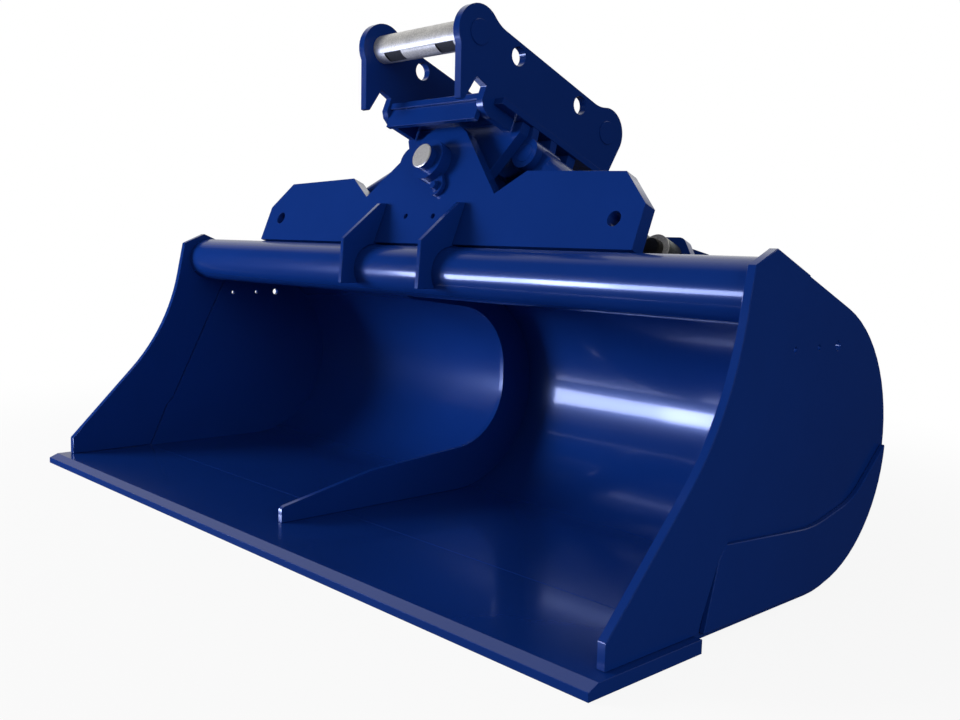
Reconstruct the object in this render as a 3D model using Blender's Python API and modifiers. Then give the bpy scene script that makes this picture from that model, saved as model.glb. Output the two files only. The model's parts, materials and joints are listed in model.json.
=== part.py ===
"""Tilting ditching bucket for an excavator, with its headstock and two tilt cylinders.

Units are metres, +Z up. +X is the bucket's width, to the right seen from the mouth, and +Y
runs back into the bucket. The origin is the centre of the cutting edge's underside.

Three frames carry the pieces. The bucket frame has its zero on the front line of the cutting
edge. The tilt frame lies on the pivot pin: its Y runs back and down along the pin, its Z rises
at a right angle to the pin. Each cylinder has a frame on its rod pin, with X along the rod.
"""
import math

import bmesh
import bpy
from mathutils import Matrix

GAP = 0.0003

# Bucket
WIDTH = 1.8
EDGE_DEPTH = 0.250
EDGE_THICK = 0.022
EDGE_NOSE = 0.0135
EDGE_BEVEL = 0.020
EDGE_OVERHANG = 0.014
CUTTER_THICK = 0.016
CUTTER_PROUD = 0.010
SIDE_THICK = 0.012
SHEET_THICK = 0.012
SHELL_RADIUS = 0.249
SHELL_CENTRE_Y = 0.579
SIDE_LIFT = 0.0085
SHEET_INSET = 0.011
HEEL_INSET = 0.010
RUNNER_WIDTH = 0.100
RUNNER_LENGTH = 0.300
RUNNER_INSET = 0.330

# Centre rib: its inner corners as shares of the sheet's bend, and its front end
RIB_THICK = 0.012
RIB_REACH = 0.574
RIB_RISE = 0.698
RIB_DROP = 0.511
RIB_BEND = 0.5955
RIB_HANG = 0.005
RIB_HUG_END = -105.0
RIB_FRONT = ((0.3310, 0.0980), (0.1170, 0.0545), (0.1100, 0.0500))

# Side cutter outline: its foot, its front bend, its nose and its rear edge
FOOT_Y = 0.0485
KNEE_RISE = 0.0405
CUTTER_BEND_RUN = 0.0459
CUTTER_BEND_SHARE = 0.5984
CUTTER_BEND_RADIUS = 0.500
NOSE_RUN = 0.1003
NOSE_DROP = 0.0484
PEAK_RUN = 0.0431
CUTTER_TOP_DROP = 0.004
CUTTER_REAR_TOP_RUN = 0.0585
CUTTER_REAR_LOW_Y = 0.3223
CUTTER_REAR_LOW_Z = 0.1455
CUTTER_HEEL_Y = 0.2570
CUTTER_KNEE_Y = 0.3034
CUTTER_KNEE_Z = 0.1247

# Heel plate's top edge from the rear forward, as shares of the shell radius from its centre
HEEL_TOP_REAR = (0.9277, -0.0703)
HEEL_TOP_BEND = (0.5530, -0.4060)
HEEL_TOP_FRONT = (0.0, -0.5221)
HEEL_BEND_RADIUS = 0.16
HEEL_FRONT_RADIUS = 0.30
HEEL_FOOT_RUN = 0.030

# Holes in the side plates, from the shell's centre, with their radius
SIDE_HOLE_RISE = 0.1695
SIDE_HOLES = ((-0.075, 0.005), (-0.001, 0.005), (0.061, 0.0085))

# Torque tube, along the pivot axis and below the side plates' top edge
TUBE_S = 0.0619
TUBE_DROP = 0.0624
TUBE_RADIUS = 0.054
TUBE_WALL = 0.008

# Tilt pivot
TILT_SLOPE = math.radians(22.0)
PIVOT_RISE = 0.175
PIVOT_FORWARD = 0.298
PIN_RADIUS = 0.030
PIN_PROUD = 0.0395
BOSS_RADIUS = 0.046
BOSS_LENGTH = 0.027
FRONT_PLATE_THICK = 0.030
REAR_PLATE_S = 0.270
REAR_PLATE_THICK = 0.025
HUB_RADIUS = 0.058
BUSH_WALL = 0.0075
BUSH_LENGTH = 0.060
HUB_PLAY = 0.0008
KEEPER_THICK = 0.010
KEEPER_ANGLE = math.radians(-42.0)
KEEPER_REACH = 0.086
KEEPER_WIDTH = 0.044
KEEPER_SPREAD = 26.0
PIVOT_PIN_TAIL = 0.010

# Outline of the tilt plates, half width and height above the pivot axis
TILT_HALF = 0.598
SHOULDER_TOP = -0.096
SHOULDER_RUN = 0.063
WING_TOP = -0.033
VALLEY_OUT_X = 0.2835
VALLEY_OUT_V = -0.024
VALLEY_X = 0.2106
VALLEY_V = -0.072
NECK_X = 0.0654
NECK_V = 0.073
APEX_X = 0.041
APEX_V = 0.088
LIFT_HOLE_INSET = 0.060
LIFT_HOLE_V = -0.125
LIFT_HOLE_RADIUS = 0.015
SMALL_HOLE = (0.045, -0.120, 0.006)

# Gussets between the tilt plates and the shell, set back and raised from the tube's centre
GUSSET_X = 0.130
GUSSET_THICK = 0.012
GUSSET_TOP = (0.0155, 0.145)
GUSSET_KNEE = (-0.083, 0.066)
GUSSET_FOOT = (-0.090, -0.031)
REAR_GUSSET_TOP = -0.080
REAR_GUSSET_REACH = 0.070
REAR_GUSSET_WIDTH = 0.0275

# Headstock
EAR_THICK = 0.019
EAR_GAP = 0.290
HITCH_PITCH = 0.433
HITCH_FRONT_S = -0.085
HITCH_V = 0.2225
HITCH_RADIUS = 0.0305
HITCH_END_RADIUS = 0.025
FLAT_START = 0.056
FLAT_END = 0.112
FLAT_DEPTH = 0.0032
FLAT_ANGLE = 255.5
EAR_RADIUS = 0.0560
EAR_FRONT_REACH = 0.0494
EAR_TOP_V = 0.2627
EAR_BLEND_RADIUS = 0.080
EAR_LOW_V = 0.083
EAR_STEP_S = 0.0705
EAR_HOLE_RADIUS = 0.020
EAR_HOLE_V = 0.2345
EAR_HOLES_S = (0.0306, 0.2407)
EAR_REAR_S = 0.387
EAR_REAR_BULGE = 0.004
EAR_REAR_V = 0.149
EAR_REAR_END = -6.0
EAR_NOTCH = ((0.0010, 0.0830), (-0.0180, 0.0925), (-0.0265, 0.1050), (-0.0265, 0.1353),
             (-0.0578, 0.1400), (-0.0700, 0.0849), (-0.0730, 0.0818), (-0.0802, 0.0808))
HITCH_PROUD = 0.001
DECK_V = 0.111
DECK_THICK = 0.014
DECK_HALF = 0.190
DECK_FRONT_S = -0.022
DECK_WING_S = 0.005
DECK_REAR_S = 0.390
WEB_THICK = 0.012
WEB_S = -0.004
WEB_LOW_V = 0.071
HUB_PLATE_THICK = 0.025
HUB_PLATE_FRONT_S = 0.080
HUB_PLATE_REAR_S = 0.235
HUB_PLATE_HALF = 0.182
HUB_PLATE_SHOULDER_V = 0.086
HUB_PLATE_FOOT_HALF = 0.069
HUB_PLATE_FOOT_V = -0.095
HUB_PLATE_FOOT_RADIUS = 0.045

# Tilt cylinders
ROD_PIN_INSET = 0.021
ROD_PIN_V = -0.150
BASE_PIN_X = 0.187
BASE_PIN_V = 0.052
CYLINDER_S = 0.145
EYE_WIDTH = 0.040
CYLINDER_PIN_RADIUS = 0.020
EYE_BUSH_WALL = 0.004
ROD_EYE_RADIUS = 0.031
BASE_EYE_RADIUS = 0.034
ROD_RADIUS = 0.015
BARREL_RADIUS = 0.030
BARREL_BORE = 0.025
BARREL_BASE = 0.048
BARREL_LENGTH = 0.225
BARREL_END = 0.020
GLAND_DEPTH = 0.030
GLAND_LIP = 0.008
PISTON_LENGTH = 0.026
PISTON_STAND = 0.098
PORT_RADIUS = 0.010
PORT_RISE = 0.008
LUG_THICK = 0.0194
LUG_RADIUS = 0.045
LUG_INNER_X = 0.120
LUG_NECK_V = 0.085
LUG_LOBE_START = 78.0
LUG_LOBE_END = -150.0
STUB_HEAD_RADIUS = 0.026
STUB_HEAD = 0.008
CLEVIS_THICK = 0.020
CLEVIS_RISE = 0.044
CLEVIS_INNER = 0.046
CLEVIS_OUTER = 0.078
CLEVIS_TOE = 0.008
CLEVIS_INNER_RADIUS = 0.030
CLEVIS_OUTER_RADIUS = 0.020
ROD_PIN_TAIL = 0.012
PIN_CORE_CHAMFER = 0.0005

# Worked out from the sizes above
HALF = WIDTH / 2
RUNNER_X = HALF - RUNNER_INSET - RUNNER_WIDTH / 2
SHOULDER_X = TILT_HALF - SHOULDER_RUN
LIFT_HOLE = (TILT_HALF - LIFT_HOLE_INSET, LIFT_HOLE_V, LIFT_HOLE_RADIUS)
ROD_PIN_X = TILT_HALF - ROD_PIN_INSET
CUTTER_OUT = HALF - EDGE_OVERHANG
CUTTER_IN = CUTTER_OUT - CUTTER_THICK
SIDE_OUT = CUTTER_OUT - CUTTER_PROUD
SIDE_IN = SIDE_OUT - SIDE_THICK
SHEET_LOW = EDGE_THICK - SHEET_THICK
SHELL_CENTRE_Z = SIDE_LIFT + SHELL_RADIUS
COS, SIN = math.cos(TILT_SLOPE), math.sin(TILT_SLOPE)
PIVOT_Y = SHELL_CENTRE_Y + SIN * (SHELL_RADIUS + PIVOT_RISE) - COS * PIVOT_FORWARD
PIVOT_Z = SHELL_CENTRE_Z + COS * (SHELL_RADIUS + PIVOT_RISE) + SIN * PIVOT_FORWARD
FRONT_PLATE_BACK = PIN_PROUD + FRONT_PLATE_THICK
REAR_PLATE_BACK = REAR_PLATE_S + REAR_PLATE_THICK
HITCH_REAR_S = HITCH_FRONT_S + HITCH_PITCH
EAR_IN = EAR_GAP / 2
EAR_OUT = EAR_IN + EAR_THICK
DECK_TOP = DECK_V + DECK_THICK
BUSH_RADIUS = PIN_RADIUS + GAP + BUSH_WALL
EYE_BORE = CYLINDER_PIN_RADIUS + 2 * GAP + EYE_BUSH_WALL
CYLINDER_LENGTH = math.hypot(ROD_PIN_X - BASE_PIN_X, ROD_PIN_V - BASE_PIN_V)
EYE_FRONT = CYLINDER_S - EYE_WIDTH / 2
EYE_BACK = CYLINDER_S + EYE_WIDTH / 2


def tilt_from_bucket(y, z):
    """Place along and above the pivot axis of a point of the bucket frame."""
    dy, dz = y - PIVOT_Y, z - PIVOT_Z
    return dy * COS - dz * SIN, dy * SIN + dz * COS


def bucket_from_tilt(s, v):
    """Set-back and height of a point given along and above the pivot axis."""
    return PIVOT_Y + s * COS + v * SIN, PIVOT_Z - s * SIN + v * COS


TUBE_V = -PIVOT_RISE - TUBE_DROP
TUBE_Y, TUBE_Z = bucket_from_tilt(TUBE_S, TUBE_V)
SHEET_TOP_V = -PIVOT_RISE - SHEET_INSET
NOSE_Y = PIVOT_Y - NOSE_RUN
PEAK_Y = PIVOT_Y - PEAK_RUN
CUTTER_REAR_TOP_Y = PIVOT_Y + CUTTER_REAR_TOP_RUN
CUTTER_BEND_Y = NOSE_Y - CUTTER_BEND_RUN


def sheet_circle():
    """Centre and radius of the shell sheet's outer bend, inside the side plates' outline."""
    radius = SHELL_RADIUS - SHEET_INSET / 2
    z = SHEET_LOW + radius
    y = PIVOT_Y + (SHEET_TOP_V - radius - (z - PIVOT_Z) * COS) / SIN
    return y, z, radius


SHEET_Y, SHEET_Z, SHEET_RADIUS = sheet_circle()


def clear_scene():
    """Remove whatever the start-up file holds."""
    for item in list(bpy.data.objects):
        bpy.data.objects.remove(item, do_unlink=True)


def collection(name):
    """Return a new collection linked to the scene."""
    group = bpy.data.collections.new(name)
    bpy.context.scene.collection.children.link(group)
    return group


def finish(name, colour, roughness, metallic):
    """Return a Principled material."""
    made = bpy.data.materials.new(name)
    made.use_nodes = True
    shader = made.node_tree.nodes["Principled BSDF"]
    shader.inputs["Base Color"].default_value = (*colour, 1.0)
    shader.inputs["Roughness"].default_value = roughness
    shader.inputs["Metallic"].default_value = metallic
    return made


def empty(name, parent, place=(0, 0, 0), turn=(0, 0, 0)):
    """Return an empty that carries pieces."""
    made = bpy.data.objects.new(name, None)
    made.empty_display_size = 0.1
    made.parent = parent
    made.location = place
    made.rotation_euler = turn
    PARTS.objects.link(made)
    return made


def arc(centre, radius, start, end, steps=8):
    """Points on a circle, from one angle in degrees to another, both ends included."""
    turns = [math.radians(start + (end - start) * k / steps) for k in range(steps + 1)]
    return [(centre[0] + radius * math.cos(t), centre[1] + radius * math.sin(t)) for t in turns]


def rounded(corners, steps=8):
    """Outline through corners (a, b, radius), each corner rounded to its radius."""
    points = []
    for k, (a, b, radius) in enumerate(corners):
        if not radius:
            points.append((a, b))
            continue
        before, after = corners[k - 1], corners[(k + 1) % len(corners)]
        in_turn = math.atan2(before[1] - b, before[0] - a)
        out_turn = math.atan2(after[1] - b, after[0] - a)
        spread = (out_turn - in_turn + math.pi) % (2 * math.pi) - math.pi
        reach = radius / math.sin(abs(spread) / 2)
        middle = in_turn + spread / 2
        centre = (a + reach * math.cos(middle), b + reach * math.sin(middle))
        sweep = math.copysign(math.pi - abs(spread), spread)
        start = in_turn - math.copysign(math.pi / 2, spread)
        points += arc(centre, radius, math.degrees(start), math.degrees(start - sweep), steps)
    return points


def mirrored(half):
    """Close a right-hand outline with its mirror image."""
    return half + [(-x, v) for x, v in reversed(half)]


def circle(a, b, radius, steps=24):
    """Outline of a round hole."""
    return arc((a, b), radius, 0, 360 * (steps - 1) / steps, steps - 1)


def smooth(mesh):
    """Shade the round faces smooth and keep the edges of the flat ones."""
    mesh.shade_smooth()
    mesh.set_sharp_from_angle(angle=math.radians(30))


def link(name, mesh, look, parent, place=(0, 0, 0), turn=(0, 0, 0)):
    """Return a named object for one sub-part."""
    made = bpy.data.objects.new(name, mesh)
    mesh.materials.clear()
    mesh.materials.append(look)
    smooth(mesh)
    made.parent = parent
    made.location = place
    made.rotation_euler = turn
    PARTS.objects.link(made)
    return made


SIDE_VIEW = Matrix(((0, 0, 1, 0), (1, 0, 0, 0), (0, 1, 0, 0), (0, 0, 0, 1)))
FRONT_VIEW = Matrix(((1, 0, 0, 0), (0, 0, -1, 0), (0, 1, 0, 0), (0, 0, 0, 1)))
TOP_VIEW = Matrix.Identity(4)


def plate(name, outline, low, high, look, parent, view, holes=()):
    """Return a flat plate cut to an outline, between two stations across its faces."""
    curve = bpy.data.curves.new(name, "CURVE")
    curve.dimensions = "2D"
    curve.fill_mode = "BOTH"
    curve.extrude = (high - low) / 2
    for loop in (outline, *holes):
        spline = curve.splines.new("POLY")
        spline.points.add(len(loop) - 1)
        for point, (a, b) in zip(spline.points, loop):
            point.co = (a, b, 0, 1)
        spline.use_cyclic_u = True
    flat = bpy.data.objects.new(name + "_outline", curve)
    PARTS.objects.link(flat)
    depsgraph = bpy.context.evaluated_depsgraph_get()
    mesh = bpy.data.meshes.new_from_object(flat.evaluated_get(depsgraph))
    bpy.data.objects.remove(flat, do_unlink=True)
    form = bmesh.new()
    form.from_mesh(mesh)
    bmesh.ops.remove_doubles(form, verts=form.verts, dist=0.00001)
    bmesh.ops.recalc_face_normals(form, faces=form.faces)
    form.to_mesh(mesh)
    form.free()
    middle = (low + high) / 2
    shift = -middle if view is FRONT_VIEW else middle
    mesh.transform(view @ Matrix.Translation((0, 0, shift)))
    mesh.name = name
    return link(name, mesh, look, parent)


AXIS_TURN = {"X": (0, math.pi / 2, 0), "Y": (-math.pi / 2, 0, 0), "Z": (0, 0, 0)}


def turned(name, profile, look, parent, axis, place=(0, 0, 0), steps=32, ring=False):
    """Return a turned piece from (radius, station) points that run down its outer side."""
    mesh = bpy.data.meshes.new(name)
    form = bmesh.new()
    points = [form.verts.new((radius, 0, station)) for radius, station in profile]
    for first, second in zip(points, points[1:]):
        form.edges.new((first, second))
    if ring:
        form.edges.new((points[-1], points[0]))
    form.to_mesh(mesh)
    form.free()
    made = link(name, mesh, look, parent, place, AXIS_TURN[axis])
    screw = made.modifiers.new("turn", "SCREW")
    screw.steps = screw.render_steps = steps
    screw.use_merge_vertices = True
    screw.merge_threshold = 0.00001
    screw.use_smooth_shade = True
    return made


def pin(name, radius, low, high, look, parent, axis, place=(0, 0, 0), chamfer=0.002):
    """Return a solid round pin with chamfered ends."""
    profile = [(0, high), (radius - chamfer, high), (radius, high - chamfer),
               (radius, low + chamfer), (radius - chamfer, low), (0, low)]
    return turned(name, profile, look, parent, axis, place)


def tube(name, outer, inner, low, high, look, parent, axis, place=(0, 0, 0)):
    """Return a ring or a tube."""
    profile = [(outer, high), (outer, low), (inner, low), (inner, high)]
    return turned(name, profile, look, parent, axis, place, ring=True)


def rod_form(radius, start, end, axis, steps=32):
    """Return the mesh of a plain cylinder between two stations of an axis."""
    mesh = bpy.data.meshes.new("rod_form")
    form = bmesh.new()
    bmesh.ops.create_cone(form, cap_ends=True, segments=steps, radius1=radius, radius2=radius,
                          depth=end - start)
    form.to_mesh(mesh)
    form.free()
    mesh.transform(Matrix.Translation((0, 0, (start + end) / 2)))
    if axis == "X":
        mesh.transform(Matrix.Rotation(math.pi / 2, 4, "Y"))
    if axis == "Y":
        mesh.transform(Matrix.Rotation(-math.pi / 2, 4, "X"))
    return mesh


def joined(piece, mesh, operation, offset=(0, 0, 0)):
    """Add or cut another form, given in the piece's own coordinates."""
    mesh.transform(Matrix.Translation(offset))
    helper = bpy.data.objects.new(piece.name + "_" + operation.lower(), mesh)
    CUTTERS.objects.link(helper)
    helper.parent = piece.parent
    helper.location = piece.location
    helper.rotation_euler = piece.rotation_euler
    helper.hide_render = True
    helper.display_type = "WIRE"
    cut = piece.modifiers.new(operation.lower(), "BOOLEAN")
    cut.operation = operation
    cut.object = helper
    cut.solver = "EXACT"


def cutting_edge(parent, look):
    """Full-width edge, ground back along its nose."""
    profile = [(0, 0), (EDGE_DEPTH, 0), (EDGE_DEPTH, EDGE_THICK), (EDGE_BEVEL, EDGE_THICK),
               (0, EDGE_NOSE)]
    plate("cutting_edge", profile, -HALF, HALF, look, parent, SIDE_VIEW)


def shell_sheet(parent, look):
    """Bent sheet from the edge round the back to the torque tube."""
    top_angle = 90 - math.degrees(TILT_SLOPE)
    rise = SHEET_TOP_V - SHEET_THICK - TUBE_V
    front_s = TUBE_S + math.sqrt((TUBE_RADIUS + GAP) ** 2 - rise ** 2)
    path = [(EDGE_DEPTH + GAP, SHEET_LOW)]
    path += arc((SHEET_Y, SHEET_Z), SHEET_RADIUS, -90, top_angle, 28)
    path.append(bucket_from_tilt(front_s, SHEET_TOP_V))
    half = SIDE_IN - GAP
    form = bmesh.new()
    row = [form.verts.new((-half, y, z)) for y, z in path]
    line = [form.edges.new(pair) for pair in zip(row, row[1:])]
    swept = bmesh.ops.extrude_edge_only(form, edges=line)
    moved = [item for item in swept["geom"] if isinstance(item, bmesh.types.BMVert)]
    bmesh.ops.translate(form, verts=moved, vec=(2 * half, 0, 0))
    form.normal_update()
    floor = min(form.faces, key=lambda face: face.calc_center_median().z)
    if floor.normal.z > 0:
        bmesh.ops.reverse_faces(form, faces=form.faces)
    mesh = bpy.data.meshes.new("shell_sheet")
    form.to_mesh(mesh)
    form.free()
    sheet = link("shell_sheet", mesh, look, parent)
    wall = sheet.modifiers.new("sheet", "SOLIDIFY")
    wall.thickness = SHEET_THICK
    wall.offset = -1
    wall.use_even_offset = True


def top_edge(y, drop=0):
    """Height of the side plate's top edge, parallel to the pivot pin, or of a lower one."""
    return PIVOT_Z - (PIVOT_RISE + drop + (y - PIVOT_Y) * SIN) / COS


def cutter_top(y):
    """Height of the side cutter's top edge."""
    return top_edge(y, CUTTER_TOP_DROP)


def cutter_rear(shift):
    """Rear edge of the side cutter, top to bottom, moved back by a shift."""
    slope_y = CUTTER_REAR_TOP_Y - CUTTER_REAR_LOW_Y
    slope_z = cutter_top(CUTTER_REAR_TOP_Y) - CUTTER_REAR_LOW_Z
    lean = shift * math.hypot(slope_y, slope_z) / slope_z
    return [(CUTTER_REAR_TOP_Y + lean, cutter_top(CUTTER_REAR_TOP_Y)),
            (CUTTER_REAR_LOW_Y + lean, CUTTER_REAR_LOW_Z),
            (CUTTER_KNEE_Y + lean, CUTTER_KNEE_Z),
            (CUTTER_HEEL_Y + lean, EDGE_THICK + GAP)]


def side_cutter(name, side, parent, look):
    """Thick strip along the front of a side plate, standing on the cutting edge."""
    foot = EDGE_THICK + GAP
    nose_z = cutter_top(NOSE_Y) - NOSE_DROP
    corners = [(FOOT_Y, foot, 0), (FOOT_Y, EDGE_THICK + KNEE_RISE, 0),
               (CUTTER_BEND_Y, CUTTER_BEND_SHARE * nose_z, CUTTER_BEND_RADIUS),
               (NOSE_Y, nose_z, 0), (PEAK_Y, cutter_top(PEAK_Y), 0)]
    corners += [(y, z, 0) for y, z in cutter_rear(0)]
    low, high = sorted((side * CUTTER_IN, side * CUTTER_OUT))
    plate(name, rounded(corners, 12), low, high, look, parent, SIDE_VIEW)


def side_plate(name, side, parent, look):
    """Side plate behind the cutter strip, with its row of holes."""
    centre = (SHELL_CENTRE_Y, SHELL_CENTRE_Z)
    top_angle = 90 - math.degrees(TILT_SLOPE)
    front = cutter_rear(GAP)
    outline = [(front[0][0], top_edge(front[0][0]))] + arc(centre, SHELL_RADIUS, top_angle, -90, 28)
    outline.append((EDGE_DEPTH + GAP, SIDE_LIFT))
    outline.append((EDGE_DEPTH + GAP, front[3][1]))
    outline.append((front[3][0] + GAP, front[3][1]))
    outline += [front[2], front[1], front[0]]
    holes = [circle(SHELL_CENTRE_Y + run, SHELL_CENTRE_Z + SIDE_HOLE_RISE, radius, 16)
             for run, radius in SIDE_HOLES]
    low, high = sorted((side * SIDE_IN, side * SIDE_OUT))
    plate(name, outline, low, high, look, parent, SIDE_VIEW, holes)


def shell_corner(shares, radius=0):
    """Corner given in shares of the shell radius from the shell's centre."""
    return (SHELL_CENTRE_Y + shares[0] * SHELL_RADIUS, SHELL_CENTRE_Z + shares[1] * SHELL_RADIUS,
            radius)


def heel_plate(name, side, parent, look):
    """Wear plate on the outside of the heel, set in from the side plate's outline."""
    centre = (SHELL_CENTRE_Y, SHELL_CENTRE_Z)
    radius = SHELL_RADIUS - HEEL_INSET
    floor = SHELL_CENTRE_Z - radius
    front = cutter_rear(2 * GAP)
    top = rounded([(*centre, 0), shell_corner(HEEL_TOP_REAR),
                   shell_corner(HEEL_TOP_BEND, HEEL_BEND_RADIUS),
                   shell_corner(HEEL_TOP_FRONT, HEEL_FRONT_RADIUS), (*front[1], 0)], 8)[2:]
    rear = math.degrees(math.asin(HEEL_TOP_REAR[1] * SHELL_RADIUS / radius))
    outline = arc(centre, radius, -90, rear, 16) + top
    outline += [front[2], (front[2][0] - HEEL_FOOT_RUN, floor)]
    low, high = sorted((side * (SIDE_OUT + GAP), side * CUTTER_OUT))
    plate(name, outline, low, high, look, parent, SIDE_VIEW)


def runner(name, x, parent, look):
    """Wear strip under the floor sheet, level with the cutting edge."""
    start = EDGE_DEPTH + GAP
    box = [(start, 0), (start + RUNNER_LENGTH, 0), (start + RUNNER_LENGTH, SHEET_LOW - GAP),
           (start, SHEET_LOW - GAP)]
    plate(name, box, x - RUNNER_WIDTH / 2, x + RUNNER_WIDTH / 2, look, parent, SIDE_VIEW)


def centre_rib(parent, look):
    """Rib inside the shell, from the edge round the back and under the torque tube."""
    radius = SHEET_RADIUS - SHEET_THICK - GAP
    top_angle = 90 - math.degrees(TILT_SLOPE)
    under = SHEET_TOP_V - SHEET_THICK - GAP
    hug = TUBE_RADIUS + GAP
    meet = math.degrees(math.asin((under - TUBE_V) / hug) - TILT_SLOPE)
    outline = arc((TUBE_Y, TUBE_Z), hug, meet, RIB_HUG_END, 12)
    back, bend = SHEET_Y + RIB_REACH * SHEET_RADIUS, RIB_BEND * SHEET_RADIUS
    first, second, nose = RIB_FRONT
    outline += rounded([(TUBE_Y, TUBE_Z - hug - RIB_HANG, 0),
                        (back, SHEET_Z + RIB_RISE * SHEET_RADIUS, bend),
                        (back, SHEET_Z - RIB_DROP * SHEET_RADIUS, bend),
                        (*first, 0), (*second, 0)], 12)
    floor = EDGE_THICK + GAP
    outline += [nose, (nose[0], floor)]
    outline += arc((SHEET_Y, SHEET_Z), radius, -90, top_angle, 28)
    plate("centre_rib", outline, -RIB_THICK / 2, RIB_THICK / 2, look, parent, SIDE_VIEW)


def tilt_outline(foot):
    """Outline of a tilt plate: two wings, two valleys and the neck that holds the pivot."""
    half = [(TILT_HALF, foot), (TILT_HALF, SHOULDER_TOP), (SHOULDER_X, WING_TOP),
            (VALLEY_OUT_X, VALLEY_OUT_V), (VALLEY_X, VALLEY_V), (NECK_X, NECK_V),
            (APEX_X, APEX_V)]
    return mirrored(half)


def tilt_plates(tilt, look):
    """Front plate on the torque tube and rear plate on the shell, with their pivot bosses."""
    bore = PIN_RADIUS + GAP
    front_holes = [circle(0, 0, bore, 32)]
    for x, v, radius in (LIFT_HOLE, SMALL_HOLE):
        front_holes += [circle(x, v, radius), circle(-x, v, radius)]
    foot = TUBE_V + TUBE_RADIUS + GAP
    plate("front_tilt_plate", tilt_outline(foot), PIN_PROUD, FRONT_PLATE_BACK, look, tilt,
          FRONT_VIEW, front_holes)
    plate("rear_tilt_plate", tilt_outline(SHEET_TOP_V + GAP), REAR_PLATE_S, REAR_PLATE_BACK,
          look, tilt, FRONT_VIEW, [circle(0, 0, bore, 32)])
    tube("front_pivot_boss", BOSS_RADIUS, bore, PIN_PROUD - GAP - BOSS_LENGTH,
         PIN_PROUD - GAP, look, tilt, "Y")
    tube("rear_pivot_boss", BOSS_RADIUS, bore, REAR_PLATE_BACK + GAP,
         REAR_PLATE_BACK + GAP + BOSS_LENGTH, look, tilt, "Y")


def keeper(tilt, look):
    """Flag beside the front boss that keeps the pivot pin from turning."""
    turn = math.degrees(KEEPER_ANGLE)
    outline = arc((0, 0), BOSS_RADIUS + GAP, turn + KEEPER_SPREAD, turn - KEEPER_SPREAD, 8)
    reach, half = KEEPER_REACH - KEEPER_WIDTH / 2, KEEPER_WIDTH / 2
    centre = (reach * math.cos(KEEPER_ANGLE), reach * math.sin(KEEPER_ANGLE))
    outline += arc(centre, half, turn - 90, turn + 90, 12)
    plate("pivot_pin_keeper", outline, PIN_PROUD - GAP - KEEPER_THICK, PIN_PROUD - GAP, look,
          tilt, FRONT_VIEW)


def front_gusset(name, x, parent, look):
    """Gusset from the front tilt plate down over the torque tube."""
    face = PIN_PROUD - GAP
    hug = TUBE_RADIUS + GAP
    corners = [(TUBE_Y + run, TUBE_Z + rise) for run, rise in (GUSSET_TOP, GUSSET_KNEE,
                                                               GUSSET_FOOT)]
    top = (corners[0][1] - PIVOT_Z + face * SIN) / COS
    foot = TUBE_V + math.sqrt(hug ** 2 - (face - TUBE_S) ** 2)
    low = math.degrees(math.pi + math.asin(-GUSSET_FOOT[1] / hug))
    high_y, high_z = bucket_from_tilt(face, foot)
    high = math.degrees(math.atan2(high_z - TUBE_Z, high_y - TUBE_Y))
    outline = [bucket_from_tilt(face, top), *corners]
    outline += arc((TUBE_Y, TUBE_Z), hug, low, high, 12)
    plate(name, outline, x - GUSSET_THICK / 2, x + GUSSET_THICK / 2, look, parent, SIDE_VIEW)


def rear_gusset(name, x, parent, look):
    """Gusset from the rear tilt plate down onto the bend of the shell sheet."""
    face = REAR_PLATE_BACK + GAP
    radius = SHEET_RADIUS + GAP
    centre_s, centre_v = tilt_from_bucket(SHEET_Y, SHEET_Z)
    start = math.degrees(math.acos((face + REAR_GUSSET_REACH - centre_s) / radius))
    end = math.degrees(math.acos((face - centre_s) / radius))
    bend = arc((centre_s, centre_v), radius, start, end, 6)
    outline = bend + [(face, REAR_GUSSET_TOP), (face + REAR_GUSSET_WIDTH, REAR_GUSSET_TOP)]
    outline = [bucket_from_tilt(s, v) for s, v in outline]
    plate(name, outline, x - GUSSET_THICK / 2, x + GUSSET_THICK / 2, look, parent, SIDE_VIEW)


def pivot(tilt, headstock, look, steel, bronze):
    """Pivot pin on the bucket; hub tube and its two bushes on the headstock."""
    pin("pivot_pin", PIN_RADIUS, 0, REAR_PLATE_BACK + BOSS_LENGTH + PIVOT_PIN_TAIL, steel,
        tilt, "Y")
    front, back = FRONT_PLATE_BACK + HUB_PLAY, REAR_PLATE_S - HUB_PLAY
    tube("hub_tube", HUB_RADIUS, BUSH_RADIUS + GAP, front, back, look, headstock, "Y")
    tube("front_hub_bush", BUSH_RADIUS, PIN_RADIUS + GAP, front, front + BUSH_LENGTH, bronze,
         headstock, "Y")
    tube("rear_hub_bush", BUSH_RADIUS, PIN_RADIUS + GAP, back - BUSH_LENGTH, back, bronze,
         headstock, "Y")


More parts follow.
